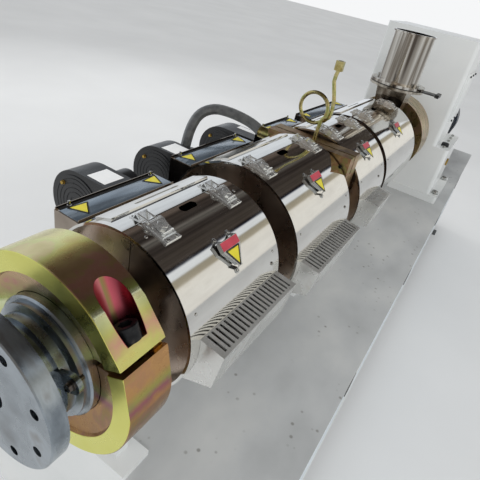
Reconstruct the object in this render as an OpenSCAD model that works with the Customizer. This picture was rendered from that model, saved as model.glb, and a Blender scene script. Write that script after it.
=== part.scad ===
// Single-screw plastic extruder on a floor-standing base, with a vented barrel.
// X runs along the barrel, from the die end towards the hopper and the drive.
// The operator stands on the -Y side, the blowers are on the +Y side, and Z is up from the floor.
// X is 0 at the near edge of the first heating zone's cover.

/* [Barrel] */
// Height of the barrel's axis above the floor
axis_h = 1000; // [960:10:1060]
// Diameter of the screw and of the bore that it turns in
bore_d = 65; // [60:1:65]
// Outer diameter of the barrel tube
barrel_d = 120; // [112:1:124]

/* [Heating zones] */
// Radius of the first zone's cover
small_cover_r = 170; // [168:1:172]
// Radius of the covers of the zones behind it
large_cover_r = 191; // [189:1:193]
// Sheet thickness of the covers
cover_t = 2; // [1.5:0.5:3]
// Length of a pair of latches' wire bails across the seam
latch_l = 62; // [58:1:66]
// Number of slots in the grille of a vent hood
hood_slots = 20; // [14:1:20]

/* [Clamp and die end] */
// Outer radius of the split clamp ring
clamp_r = 182; // [178:1:184]
// Length of the clamp ring along the barrel
clamp_l = 90; // [84:1:92]
// Diameter of the melt outlet in the die adapter
outlet_d = 50; // [40:1:56]
// Diameter of the bolt circle on the die adapter
die_pcd = 210; // [204:1:214]

/* [Hopper] */
// Radius of the hopper tube
hopper_r = 85; // [80:1:88]
// Height of the hopper tube
hopper_h = 215; // [200:5:230]

/* [Base] */
// Width of the base
base_w = 800; // [780:10:840]
// Height of the base's top plate above the floor
base_h = 650; // [640:5:655]
// Length of the base
base_l = 3440; // [3400:10:3500]

/* [Hidden] */
$fn = 96;

// Zones: start, length, cover radius
zone_x = [0, 364, 803, 1105];
zone_l = [310, 345, 268, 450];
zone_r = [small_cover_r, large_cover_r, large_cover_r, large_cover_r];
// Where each zone's two latches stand, and the X range of its vent hood
latch_x = [[57, 252], [402, 668], [846, 1028], [1180, 1512]];
hood_x = [[26, 302], [392, 694], [868, 1028]];
hood_sections = [[24, 56], [14, 54], [16, 54]];
// Outer Y and top height over the axis of each terminal box
box_y = [199, 221, 221, 221];
box_top = [112, 122, 122, 122];
end_plate_inset = 22;
seam_gap = 1;

base_x0 = -60;
plinth_h = 80;
top_plate_t = 10;
anchor_x = [base_x0 + 210, base_x0 + base_l - 210];
anchor_y = base_w / 2 - 26;
anchor_d = 18;

feed_x = [1559, 1742];
drive_flange_x = [1742, 1911];
gearbox_x = [2040, 2460];
hopper_x = 1664;
hopper_flange_z = 255;

blower_x = [204, 493, 833];
blower_y = 354;
blower_z = -17;
blower_r = 92;
blower_w = 84;

block_x = [716, 796];
block_top = 176;
pipe_d = 11;
hose_d = 32;

// Places things on the barrel's axis, with their own Z turned to run along X
module along_x(x = 0) { translate([x, 0, axis_h]) rotate([0, 90, 0]) children(); }
module on_axis() { translate([0, 0, axis_h]) children(); }
// A disc or tube on the barrel's axis from x0 to x1
module disc_x(x0, x1, r) { along_x(x0) cylinder(h = x1 - x0, r = r); }
module ring_x(x0, x1, r_out, r_in) {
    along_x(x0) difference() {
        cylinder(h = x1 - x0, r = r_out);
        translate([0, 0, -1]) cylinder(h = x1 - x0 + 2, r = r_in);
    }
}
// A YZ profile, drawn as [y, z] over the barrel's axis, extruded from x0 to x1
module profile_x(x0, x1, points) {
    translate([x0, 0, axis_h]) rotate([90, 0, 90]) linear_extrude(x1 - x0) polygon(points);
}
module box_between(low, high) { translate(low) cube(high - low); }
module rounded_slab(low, high, r) {
    translate([low.x, low.y, low.z]) linear_extrude(high.z - low.z)
        rounded_rect(high.x - low.x, high.y - low.y, r);
}
module rounded_rect(w, h, r) {
    hull() for (x = [r, w - r], y = [r, h - r]) translate([x, y]) circle(r, $fn = 24);
}

// Base cabinet

module base_plinth() {
    y = base_w / 2 - 50;
    color("#55585b") difference() {
        union() {
            box_between([base_x0 + 50, -y, 0], [base_x0 + base_l - 50, y, plinth_h]);
            // Lugs that anchor bolts pass through into the floor
            for (x = anchor_x, side = [-1, 1]) translate([x, side * anchor_y, 6])
                cube([80, 90, 12], center = true);
        }
        for (x = anchor_x, side = [-1, 1]) translate([x, side * anchor_y, -1])
            cylinder(h = 14, d = anchor_d, $fn = 48);
    }
}

module base_cabinet() {
    color("#e6e8e8") difference() {
        rounded_slab([base_x0 + 4, 4 - base_w / 2, plinth_h],
            [base_x0 + base_l - 4, base_w / 2 - 4, base_h - top_plate_t], 12);
        for (side = [-1, 1], i = [0 : 3]) translate([base_x0 + 60 + i * 845, side * (base_w / 2 - 4), 0])
            box_between([0, -6, plinth_h + 60], [785, 6, base_h - 70]);
    }
}

module base_top_plate() {
    color("#b9bcbe")
        rounded_slab([base_x0, -base_w / 2, base_h - top_plate_t], [base_x0 + base_l, base_w / 2, base_h], 10);
}

module base_doors() {
    color("#dfe3e6") for (side = [-1, 1], i = [0 : 3])
        translate([base_x0 + 64 + i * 845, side * (base_w / 2 - 10), 0]) base_door(side);
}
module base_door(side) {
    difference() {
        box_between([0, side > 0 ? 0 : -4, plinth_h + 64], [777, side > 0 ? 4 : 0, base_h - 74]);
        for (z = [0 : 5]) translate([120, -10, 200 + z * 22]) cube([180, 20, 8]);
        translate([700, -10, 400]) cube([22, 20, 70]);
    }
}

// Barrel, screw and die end

module barrel() {
    color("#8a8d8f") difference() {
        union() {
            disc_x(-60, feed_x[0], barrel_d / 2);
            disc_x(-105, -60, 108);
        }
        disc_x(-106, feed_x[0] + 1, bore_d / 2);
        translate([(block_x[0] + block_x[1]) / 2, 0, axis_h]) cylinder(h = 100, d = 44);
    }
}

module screw() {
    color("#9b9fa2") union() {
        disc_x(-60, drive_flange_x[1] + 100, 23);
        along_x(-100) cylinder(h = 40, r1 = 3, r2 = 23);
    }
}

module barrel_supports() {
    color("#d7dadb") {
        barrel_support(-50, 34);
        barrel_support(738, 36);
    }
}
module barrel_support(x, w) {
    difference() {
        union() {
            box_between([x, -70, base_h + 16], [x + w, 70, axis_h + 20]);
            box_between([x - 20, -110, base_h], [x + w + 20, 110, base_h + 16]);
        }
        disc_x(x - 1, x + w + 1, barrel_d / 2 + 0.2);
    }
}

module die_adapter() {
    color("#5c6064") difference() {
        union() {
            disc_x(-150, -105, 108);
            disc_x(-196, -150, 84);
            disc_x(-236, -196, 130);
        }
        // The melt's way narrows from the barrel's bore to the outlet
        disc_x(-237, -175, outlet_d / 2);
        along_x(-176) cylinder(h = 71, r1 = outlet_d / 2, r2 = bore_d / 2);
        disc_x(-105.01, -104, bore_d / 2);
        along_x(-240) for (a = [0 : 45 : 315]) rotate(a + 22.5) translate([die_pcd / 2, 0, 0])
            cylinder(h = 60, d = 17.5, $fn = 48);
    }
}

module clamp_ring_upper() { color("#b9a44c") clamp_half(1); }
module clamp_ring_lower() { color("#b9a44c") mirror_z() clamp_half(1); }
module mirror_z() { translate([0, 0, 2 * axis_h]) mirror([0, 0, 1]) children(); }
module clamp_half() {
    x0 = -60 - clamp_l;
    difference() {
        ring_x(x0, -60, clamp_r, 109);
        box_between([x0 - 1, -300, axis_h - 300], [-59, 300, axis_h + 3]);
        for (side = [-1, 1]) {
            // Pocket that the bolt head sits in, with a round top and a flat floor
            translate([x0 + clamp_l / 2, side * 152, axis_h + 22]) cylinder(h = 200, d = 44);
            translate([x0 + clamp_l / 2, side * 152, axis_h - 5]) cylinder(h = 60, d = 18);
        }
    }
}

// Heating zones

module cover_shell(z, front) {
    r = zone_r[z];
    l = zone_l[z];
    gap = asin(seam_gap / r);
    along_x(zone_x[z]) rotate(front ? 180 + gap : gap) rotate_extrude(angle = 180 - 2 * gap) {
        translate([r - cover_t, 0]) square([cover_t, l]);
        translate([r - 5, 0]) square([5, 4]);
        translate([r - 5, l - 4]) square([5, 4]);
    }
}
module cover_front(z) {
    color("#d5d8da") difference() {
        cover_shell(z, true);
        // Slot that a temperature sensor comes out of
        translate([zone_x[z] + zone_l[z] / 2, -14, axis_h + zone_r[z] - 20]) linear_extrude(40)
            hull() for (s = [-1, 1]) translate([s * 14, 0]) circle(9, $fn = 32);
        if (z < 3) box_between([hood_x[z][0] + 14, -260, axis_h - 60], [hood_x[z][1] - 14, -100, axis_h]);
    }
}
module cover_rear(z) {
    color("#d5d8da") union() {
        difference() {
            cover_shell(z, false);
            box_between([zone_x[z] + 40, 120, axis_h - 20], [zone_x[z] + zone_l[z] - 40, 260, axis_h + 70]);
        }
        difference() {
            on_axis() rotate([-21, 0, 0]) translate([zone_x[z] + 16, -20, zone_r[z] - 4])
                cube([zone_l[z] - 32, 40, 7]);
            on_axis() rotate([-21, 0, 0]) translate([zone_x[z] + zone_l[z] / 2, 0, zone_r[z] - 6])
                linear_extrude(20) hull() for (s = [-1, 1]) translate([s * 58, 0]) circle(4, $fn = 24);
            disc_x(zone_x[z], zone_x[z] + zone_l[z], zone_r[z] - cover_t);
        }
    }
}
module cover_front_1() { cover_front(0); }
module cover_front_2() { cover_front(1); }
module cover_front_3() { cover_front(2); }
module cover_front_4() { cover_front(3); }
module cover_rear_1() { cover_rear(0); }
module cover_rear_2() { cover_rear(1); }
module cover_rear_3() { cover_rear(2); }
module cover_rear_4() { cover_rear(3); }

module end_plates() {
    color("#4c4a48") for (z = [0 : 3], x = [end_plate_inset, zone_l[z] - end_plate_inset - 3])
        difference() {
            ring_x(zone_x[z] + x, zone_x[z] + x + 3, zone_r[z] - cover_t, barrel_d / 2);
            box_between([zone_x[z] + x - 1, -1, axis_h - 300], [zone_x[z] + x + 4, 1, axis_h + 300]);
        }
}

module toggle_latches() {
    color("#c9ccce") for (z = [0 : 3], i = [0, 1]) translate([latch_x[z][i], 0, axis_h + zone_r[z]])
        toggle_latch();
}
module toggle_latch() {
    translate([-15, -42, -4]) cube([30, 36, 7]);
    translate([-11, -36, 3]) cube([22, 40, 4]);
    translate([-15, 8, -2]) cube([30, 20, 5]);
    translate([-11, 0, 3]) cube([22, 24, 5]);
}

bracket_l = 96;
bracket_top = 62;
module hot_surface_brackets() {
    color("#c4c7c9") for (z = [0 : 3]) hot_surface_bracket(z);
}
// A plate like a blunt V, standing off the cover on three bent feet
module hot_surface_bracket(z) {
    r = zone_r[z];
    x = zone_x[z] + zone_l[z] / 2;
    mid = bracket_top - bracket_l / 2 / r * 180 / PI;
    difference() {
        on_axis() rotate([90 - mid, 0, 0]) translate([x, 0, 0]) {
            translate([0, 0, r + 4]) linear_extrude(2)
                polygon([[-30, bracket_l / 2], [30, bracket_l / 2], [7, -bracket_l / 2], [-7, -bracket_l / 2]]);
            for (s = [-1, 1]) translate([s * 24 - 6, bracket_l / 2 - 2, r - 14]) cube([12, 14, 20]);
            translate([-6, -bracket_l / 2 - 12, r - 14]) cube([12, 14, 20]);
        }
        disc_x(zone_x[z] - 1, zone_x[z] + zone_l[z] + 1, r + 0.1);
    }
}

function hood_profile(z) = let (h = hood_sections[z][0], w = hood_sections[z][1], y = -zone_r[z] + 6)
    [[y, h], [y - w, h - 8], [y - w + 12, -68], [y + 20, -92], [y + 30, -60]];
module vent_hood(z) {
    p = hood_profile(z);
    inner = [[p[0].x, p[0].y - 2], [p[1].x + 2, p[1].y - 2], [p[2].x + 2, p[2].y + 3], [p[3].x, p[3].y + 3], p[4]];
    pitch = (hood_x[z][1] - hood_x[z][0] - 20) / hood_slots;
    color("#cfd2d4") difference() {
        profile_x(hood_x[z][0], hood_x[z][1], p);
        profile_x(hood_x[z][0] + 2, hood_x[z][1] - 2, inner);
        disc_x(zone_x[z] - 1, zone_x[z] + zone_l[z] + 1, zone_r[z] + 0.2);
        for (i = [0 : hood_slots - 1])
            box_between([hood_x[z][0] + 10 + (i + 0.28) * pitch, p[1].x + 7, axis_h],
                [hood_x[z][0] + 10 + (i + 0.72) * pitch, p[0].x - 7, axis_h + 40]);
    }
}
module vent_hood_1() { vent_hood(0); }
module vent_hood_2() { vent_hood(1); }
module vent_hood_3() { vent_hood(2); }

module terminal_box(z) {
    top = box_top[z];
    y1 = box_y[z];
    color("#cdd0d2") difference() {
        profile_x(zone_x[z] + 22, zone_x[z] + zone_l[z] - 14,
            [[y1 - 66, top], [y1, top], [y1, -40], [y1 - 30, -52], [y1 - 60, 0]]);
        disc_x(zone_x[z], zone_x[z] + zone_l[z], zone_r[z] + 0.2);
    }
}
module terminal_box_1() { terminal_box(0); }
module terminal_box_2() { terminal_box(1); }
module terminal_box_3() { terminal_box(2); }
module terminal_box_4() { terminal_box(3); }
module terminal_box_lids() {
    color("#d5d8da") for (z = [0 : 3])
        profile_x(zone_x[z] + 20, zone_x[z] + zone_l[z] - 12, [[box_y[z] - 68, box_top[z]],
            [box_y[z] + 2, box_top[z]], [box_y[z] + 2, box_top[z] + 3], [box_y[z] - 68, box_top[z] + 3]]);
}

// Cooling blowers

module blower(z) {
    color("#1d1e20") translate([blower_x[z], blower_y, axis_h + blower_z]) rotate([90, 0, 90]) difference() {
        union() {
            cylinder(h = blower_w, r = blower_r);
            translate([box_y[z] - blower_y, blower_r - 70, 0]) cube([blower_y - box_y[z], 70, blower_w]);
        }
        translate([0, 0, -1]) cylinder(h = 5, r = 52);
        translate([0, 0, -1]) cylinder(h = 30, r = 40);
    }
}
module blower_1() { blower(0); }
module blower_2() { blower(1); }
module blower_3() { blower(2); }
module blower_motors() {
    color("#232427") for (x = blower_x)
        translate([x + blower_w, blower_y, axis_h + blower_z]) rotate([0, 90, 0]) cylinder(h = 95, r = 52);
}

// Vent port with its gauge siphon and vacuum hose

module vent_block() {
    x0 = block_x[0];
    x1 = block_x[1];
    color("#9a8a6a") difference() {
        box_between([x0, -145, axis_h - 60], [x1, 125, axis_h + block_top]);
        disc_x(x0 - 1, x1 + 1, barrel_d / 2 + 0.2);
        translate([(x0 + x1) / 2, 0, axis_h]) cylinder(h = 120, d = 44);
        box_between([x0 + 34, -146, axis_h + 120], [x0 + 40, 126, axis_h + block_top + 1]);
    }
}

function unit(v) = v / norm(v);
// Catmull-Rom points along a hand-set route, so many between each pair
function smooth(p, n) = [for (i = [0 : len(p) - 2], k = [0 : n - 1]) let (
        a = p[max(i - 1, 0)], b = p[i], c = p[i + 1], d = p[min(i + 2, len(p) - 1)], t = k / n)
    0.5 * ((2 * b) + (c - a) * t + (2 * a - 5 * b + 4 * c - d) * t * t + (3 * b - a - 3 * c + d) * t * t * t),
    p[len(p) - 1]];
function heading(p, i) = unit(p[min(i + 1, len(p) - 1)] - p[max(i - 1, 0)]);
// Each ring's side vector is the last one, squared up to the new heading
function side_vectors(p, i = 0, last = [1, 0, 0]) = i >= len(p) ? [] :
    let (h = heading(p, i), s = unit(last - (last * h) * h)) concat([s], side_vectors(p, i + 1, s));
module tube_along(p, d, sides) {
    side = side_vectors(p, 0, [1, 0.01, 0.02]);
    points = [for (i = [0 : len(p) - 1]) let (s = side[i], u = cross(heading(p, i), s))
        for (k = [0 : sides - 1]) p[i] + d / 2 * (cos(360 * k / sides) * s + sin(360 * k / sides) * u)];
    n = len(p);
    walls = [for (i = [0 : n - 2], k = [0 : sides - 1])
        [i * sides + k, (i + 1) * sides + k, (i + 1) * sides + (k + 1) % sides, i * sides + (k + 1) % sides]];
    cap_start = [for (k = [0 : sides - 1]) k];
    cap_end = [for (k = [sides - 1 : -1 : 0]) (n - 1) * sides + k];
    polyhedron(points, concat(walls, [cap_start, cap_end]), convexity = 6);
}

// Siphon: up from the block, once round a loop, then up to the gauge socket
siphon_foot = [757, -10, 176];
siphon_loop = [20, 265];
siphon_loop_r = 44;
siphon_route = concat([[757, -10, 176], [757, -10, 196]],
    [for (a = [-40 : 20 : 300]) [757 + 12 * (a + 40) / 340, siphon_loop.x - siphon_loop_r * cos(a),
        siphon_loop.y + siphon_loop_r * sin(a)]],
    [[769, -30, 250], [769, -30, 300], [769, -14, 350], [769, -17, 380]]);
module siphon_pipe() {
    color("#a8a04a") on_axis() tube_along(smooth(siphon_route, 2), pipe_d, 10);
}

hose_route = [[731, 158, 150], [731, 180, 160], [725, 214, 170], [705, 262, 180], [682, 305, 180],
    [655, 335, 160], [630, 345, 120], [612, 345, 60], [604, 340, 0], [600, 336, -80], [600, 334, -180],
    [600, 334, -260], [600, 334, -310]];
module vacuum_hose() {
    color("#9c9892") on_axis() tube_along(smooth(hose_route, 4), hose_d, 12);
}

module pipe_fittings() {
    color("#b3a24f") {
        // Gauge socket on top of the siphon
        on_axis() translate([769, -17, 380]) difference() {
            cylinder(h = 26, r = 13, $fn = 6);
            translate([0, 0, 8]) cylinder(h = 20, r = 6.6, $fn = 48);
        }
        on_axis() translate([600, 334, -350]) cylinder(h = 40, r = 22);
        on_axis() translate([731, 120, 150]) rotate([-90, 0, 0]) cylinder(h = 38, r = 18);
    }
}

// Feed section, hopper and drive

module feed_throat() {
    color("#43484e") difference() {
        union() {
            disc_x(feed_x[0], feed_x[1], 100);
            box_between([hopper_x - 70, -70, axis_h], [hopper_x + 70, 70, axis_h + 130]);
        }
        disc_x(feed_x[0] - 1, feed_x[1] + 1, bore_d / 2 + 0.2);
        box_between([hopper_x - 32, -30, axis_h], [hopper_x + 32, 30, axis_h + 131]);
    }
}

module hopper_chute() {
    z0 = axis_h + 130;
    z1 = axis_h + hopper_flange_z - 12;
    color("#b9b6ae") difference() {
        union() {
            hull() {
                translate([hopper_x, 0, z0 + 1]) cube([110, 110, 2], center = true);
                translate([hopper_x, 0, z1 - 1]) cube([136, 136, 2], center = true);
            }
            translate([hopper_x, 0, z1]) cylinder(h = 10, r = 120);
        }
        hull() {
            translate([hopper_x, 0, z0]) cube([64, 60, 1], center = true);
            translate([hopper_x, 0, z1 + 11]) cube([120, 120, 1], center = true);
        }
    }
}

module gate_slide() {
    z1 = axis_h + hopper_flange_z - 2;
    color("#3a3c3f") difference() {
        union() {
            translate([hopper_x, 0, z1]) cylinder(h = 4, r = 112);
            box_between([hopper_x - 30, -180, z1], [hopper_x + 30, 0, z1 + 4]);
            box_between([hopper_x - 34, -192, z1 - 4], [hopper_x + 34, -176, z1 + 10]);
        }
        translate([hopper_x, 0, z1 - 1]) cylinder(h = 8, r = 60);
    }
}

module hopper_tube() {
    z1 = axis_h + hopper_flange_z + 2;
    color("#c9c7c0") translate([hopper_x, 0, z1]) difference() {
        union() {
            cylinder(h = 10, r = 120);
            cylinder(h = hopper_h, r = hopper_r);
            translate([0, 0, hopper_h - 6]) cylinder(h = 6, r = hopper_r + 6);
        }
        translate([0, 0, -1]) cylinder(h = hopper_h + 2, r = hopper_r - 2);
    }
}

module drive_flange() {
    x0 = drive_flange_x[0];
    x1 = drive_flange_x[1];
    color("#a99a5c") difference() {
        union() {
            disc_x(x0, x1, 186);
            disc_x(x1, gearbox_x[0], 130);
        }
        disc_x(x0 - 1, gearbox_x[0] + 1, 36);
    }
}

module gearbox() {
    x0 = gearbox_x[0];
    x1 = gearbox_x[1];
    color("#e9eaea") difference() {
        union() {
            rounded_slab([x0, -345, base_h], [x1, 345, base_h + 40], 16);
            rounded_slab([x0 + 6, -300, base_h], [x1 - 6, 300, axis_h - 50], 20);
            rounded_slab([x0 + 6, -230, base_h], [x1 - 6, 230, axis_h + 480], 20);
        }
        disc_x(x0 - 1, x0 + 60, 60);
    }
}

motor_z = base_h + 225;
module coupling_housing() {
    color("#dfe1e2") translate([gearbox_x[1], 0, motor_z]) rotate([0, 90, 0]) cylinder(h = 150, r = 150);
}

module drive_motor() {
    x0 = gearbox_x[1] + 150;
    color("#1f2a3a") {
        translate([x0, 0, motor_z]) rotate([0, 90, 0]) {
            cylinder(h = 24, r = 215);
            cylinder(h = 560, r = 195);
            translate([0, 0, 560]) cylinder(h = 120, r = 205);
        }
        box_between([x0 + 100, -178, base_h], [x0 + 180, 178, motor_z]);
        box_between([x0 + 380, -178, base_h], [x0 + 460, 178, motor_z]);
        box_between([x0 + 180, -90, motor_z + 150], [x0 + 380, 90, motor_z + 280]);
    }
}

base_plinth();
base_cabinet();
base_top_plate();
base_doors();
barrel();
screw();
barrel_supports();
die_adapter();
clamp_ring_upper();
clamp_ring_lower();
cover_front_1();
cover_front_2();
cover_front_3();
cover_front_4();
cover_rear_1();
cover_rear_2();
cover_rear_3();
cover_rear_4();
end_plates();
toggle_latches();
hot_surface_brackets();
vent_hood_1();
vent_hood_2();
vent_hood_3();
terminal_box_1();
terminal_box_2();
terminal_box_3();
terminal_box_4();
terminal_box_lids();
blower_1();
blower_2();
blower_3();
blower_motors();
vent_block();
siphon_pipe();
vacuum_hose();
pipe_fittings();
feed_throat();
hopper_chute();
gate_slide();
hopper_tube();
drive_flange();
gearbox();
coupling_housing();
drive_motor();
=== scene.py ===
from math import asin, cos, degrees, pi, radians, sin, sqrt

import bpy
from mathutils import Matrix, Vector


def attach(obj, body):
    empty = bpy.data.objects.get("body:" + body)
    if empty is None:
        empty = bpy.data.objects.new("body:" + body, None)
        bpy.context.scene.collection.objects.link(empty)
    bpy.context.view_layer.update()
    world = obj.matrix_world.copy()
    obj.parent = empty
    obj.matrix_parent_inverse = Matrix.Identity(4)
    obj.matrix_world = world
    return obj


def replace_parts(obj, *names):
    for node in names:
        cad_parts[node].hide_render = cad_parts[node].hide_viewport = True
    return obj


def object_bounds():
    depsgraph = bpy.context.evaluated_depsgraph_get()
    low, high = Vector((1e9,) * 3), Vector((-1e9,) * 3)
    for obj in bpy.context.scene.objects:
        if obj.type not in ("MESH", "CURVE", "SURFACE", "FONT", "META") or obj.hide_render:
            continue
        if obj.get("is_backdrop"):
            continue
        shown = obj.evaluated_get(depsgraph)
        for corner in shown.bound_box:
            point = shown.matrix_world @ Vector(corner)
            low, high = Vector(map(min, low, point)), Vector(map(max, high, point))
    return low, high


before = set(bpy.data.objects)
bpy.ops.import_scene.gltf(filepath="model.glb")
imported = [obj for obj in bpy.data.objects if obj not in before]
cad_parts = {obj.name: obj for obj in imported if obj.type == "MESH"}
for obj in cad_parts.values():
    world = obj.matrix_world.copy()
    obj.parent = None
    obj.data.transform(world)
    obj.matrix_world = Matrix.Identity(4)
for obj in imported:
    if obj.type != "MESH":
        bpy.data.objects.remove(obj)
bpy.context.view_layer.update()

# The camera stands beyond the die end, on the operator's side, and looks along the barrel as in the photo.
lens = bpy.data.cameras.new("camera")
camera = bpy.data.objects.new("camera", lens)
bpy.context.collection.objects.link(camera)
bpy.context.scene.camera = camera
camera.location = (-0.4413, -0.4256, 1.5761)
camera.rotation_euler = [radians(a) for a in (59.24, -11.025, -57.454)]
lens.sensor_width = 36
lens.lens = 32.526
lens.shift_x = -0.00545
lens.shift_y = -0.036
bpy.context.scene.view_settings.view_transform = "Standard"


# Plain studio surroundings. The world gives an even light, and polished metal sees a workshop in it: pale
# walls low down on both sides, long windows over them and a dark roof, all running along the machine.
def srgb(text):
    """A hex colour as written on screen, as linear values."""
    parts = [int(text[i:i + 2], 16) / 255 for i in (1, 3, 5)]
    return [c / 12.92 if c <= 0.04045 else ((c + 0.055) / 1.055) ** 2.4 for c in parts] + [1]


def add(tree, kind, settings={}, values={}, links={}, stops=()):
    """Adds a shader node: its settings, its sockets' values, {socket: (node, output)} and a ramp's stops."""
    made = tree.nodes.new("ShaderNode" + kind)
    for key, value in settings.items():
        setattr(made, key, value)
    for key, value in values.items():
        made.inputs[key].default_value = value
    for key, (source, output) in links.items():
        tree.links.new(source.outputs[output], made.inputs[key])
    for i, (place, colour) in enumerate(stops):
        stop = made.color_ramp.elements[i] if i < 2 else made.color_ramp.elements.new(place)
        stop.position = place
        stop.color = srgb(colour)
    return made


world = bpy.data.worlds.new("studio")
bpy.context.scene.world = world
world.use_nodes = True
sky = world.node_tree
background = sky.nodes["Background"]
way = add(sky, "TexCoord")
apart = add(sky, "SeparateXYZ", links={"Vector": (way, "Generated")})
# The angle round the machine's length, 0 at the rear horizon and 0.5 at the operator's
turn = add(sky, "Math", {"operation": "ARCTAN2"}, links={0: (apart, "Z"), 1: (apart, "Y")})
round_ = add(sky, "MapRange", values={"From Min": -pi, "From Max": pi}, links={"Value": (turn, 0)})
strips = add(sky, "ValToRGB", links={"Fac": (round_, 0)}, stops=[
    (0.00, "#F0EEE8"), (0.500, "#E9EEF4"), (0.606, "#E3EAF2"), (0.620, "#6B5F57"), (0.655, "#433B36"),
    (0.706, "#332E2B"), (0.718, "#77736E"), (0.726, "#6C6863"), (0.740, "#352F2C"), (0.775, "#3A3430"),
    (0.800, "#4A433D"), (0.838, "#3B3531"), (0.845, "#1E2A44"), (0.850, "#F3F7FB"), (0.874, "#EDF2F6"),
    (0.880, "#A39C8A"), (0.904, "#B2AA97"), (0.912, "#F3F0E8"), (0.96, "#F4F2EC"),
])
stretch = add(sky, "CombineXYZ", links={"Y": (round_, 0)})
drawn = add(sky, "Mapping", values={"Scale": (1, 60, 1)}, links={"Vector": (stretch, 0)})
streaks = add(sky, "TexNoise", values={"Scale": 1.0, "Detail": 4.0}, links={"Vector": (drawn, 0)})
depth = add(sky, "MapRange", values={"From Min": 0.35, "From Max": 0.65, "To Min": 0.50, "To Max": 1.45},
            links={"Value": (streaks, 0)})
# Only the roof is streaked, by its beams; the walls stay even
roof = add(sky, "ValToRGB", links={"Fac": (round_, 0)}, stops=[
    (0.60, "#5A5A5A"), (0.62, "#FFFFFF"), (0.842, "#FFFFFF"), (0.852, "#404040")])
shaded = add(sky, "Mix", {"data_type": "RGBA", "blend_type": "MULTIPLY"},
             links={0: (roof, 0), 6: (strips, 0), 7: (depth, 0)})
# The wall that faces the machine's die end
facing = add(sky, "MapRange", values={"From Min": -0.80, "From Max": -0.97}, links={"Value": (apart, "X")})
room = add(sky, "Mix", {"data_type": "RGBA"}, {7: srgb("#A99D91")}, {0: (facing, 0), 6: (shaded, 2)})
path = add(sky, "LightPath")
plain = add(sky, "Mix", {"data_type": "RGBA"}, {6: srgb("#DDDEDF"), 7: srgb("#F6F7F8")},
            {0: (path, "Is Camera Ray")})
seen = add(sky, "Mix", {"data_type": "RGBA"}, links={0: (path, "Is Glossy Ray"), 6: (plain, 2), 7: (room, 2)})
sky.links.new(seen.outputs[2], background.inputs["Color"])
background.inputs["Strength"].default_value = 1.0

for name, place, size, energy in [("key_lamp", (-2.6, -3.4, 4.2), 3.2, 95),
                                  ("rear_lamp", (3.4, 4.2, 3.6), 3.0, 60)]:
    lamp = bpy.data.lights.new(name, "AREA")
    lamp.energy = energy
    lamp.size = size
    holder = bpy.data.objects.new(name, lamp)
    holder.location = place
    holder.rotation_euler = (Vector((0.9, 0, 0.9)) - Vector(place)).to_track_quat("-Z", "Y").to_euler()
    holder.visible_glossy = False
    bpy.context.collection.objects.link(holder)

bpy.ops.mesh.primitive_plane_add(size=60, location=(1.6, 0, -0.0005))
floor = bpy.context.object
floor.name = "floor"
bpy.ops.object.transform_apply()
floor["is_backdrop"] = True
paving = bpy.data.materials.new("pale floor")
paving.use_nodes = True
tree = paving.node_tree
spot = add(tree, "TexCoord")
cloud = add(tree, "TexNoise", values={"Scale": 0.8, "Detail": 5.0}, links={"Vector": (spot, "Object")})
tone = add(tree, "ValToRGB", links={"Fac": (cloud, 0)}, stops=[(0.3, "#DFE0E0"), (0.7, "#E6E7E7")])
tree.links.new(tone.outputs[0], tree.nodes["Principled BSDF"].inputs["Base Color"])
tree.nodes["Principled BSDF"].inputs["Roughness"].default_value = 0.85
floor.data.materials.append(paving)


# Base plinth. Folded steel channel with welded lugs, sprayed dark grey, on four anchor bolts in the floor.
# The paint is thin and a little dusty near the ground.
def surface(name, stops, rough, size, metallic=0.0, detail=4.0, bump=0.0, grain=None, **sockets):
    """A material whose colour and roughness vary over patches of size mm, along X, Y and Z.

    stops is the colour ramp, rough the lowest and highest roughness, bump the depth in mm of a relief whose
    own grain is in mm, and sockets are constants on the shader.
    """
    made = bpy.data.materials.new(name)
    made.use_nodes = True
    tree = made.node_tree
    shader = tree.nodes["Principled BSDF"]
    shader.inputs["Metallic"].default_value = metallic
    for key, value in sockets.items():
        shader.inputs[key.replace("_", " ")].default_value = value
    spot = add(tree, "TexCoord")
    patch = add(tree, "Mapping", values={"Scale": [1000 / s for s in size]},
                links={"Vector": (spot, "Object")})
    cloud = add(tree, "TexNoise", values={"Scale": 1.0, "Detail": detail}, links={"Vector": (patch, 0)})
    tone = add(tree, "ValToRGB", links={"Fac": (cloud, 0)}, stops=stops)
    worn = add(tree, "MapRange",
               values={"From Min": 0.3, "From Max": 0.7, "To Min": rough[0], "To Max": rough[1]},
               links={"Value": (cloud, 0)})
    tree.links.new(tone.outputs[0], shader.inputs["Base Color"])
    tree.links.new(worn.outputs[0], shader.inputs["Roughness"])
    if bump:
        fine = add(tree, "Mapping", values={"Scale": [1000 / s for s in grain]},
                   links={"Vector": (spot, "Object")})
        pits = add(tree, "TexNoise", values={"Scale": 1.0, "Detail": 3.0}, links={"Vector": (fine, 0)})
        relief = add(tree, "Bump", values={"Distance": bump / 1000, "Strength": 1.0},
                     links={"Height": (pits, 0)})
        tree.links.new(relief.outputs[0], shader.inputs["Normal"])
    return made


def dress(finish, *nodes):
    """Gives CAD nodes their material, and smooth shading where their faces are curved."""
    for node in nodes:
        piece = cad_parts[node]
        for place in piece.material_slots:
            place.material = finish
        if not piece.material_slots:
            piece.data.materials.append(finish)
        bpy.ops.object.select_all(action="DESELECT")
        bpy.context.view_layer.objects.active = piece
        piece.select_set(True)
        bpy.ops.object.shade_smooth_by_angle(angle=radians(28))


dress(surface("dark grey sprayed paint", [(0.3, "#4B4E51"), (0.62, "#57595B"), (0.8, "#716F6B")], (0.45, 0.7),
              (160, 160, 60), bump=0.05, grain=(3, 3, 3)), "base_plinth")


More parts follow.
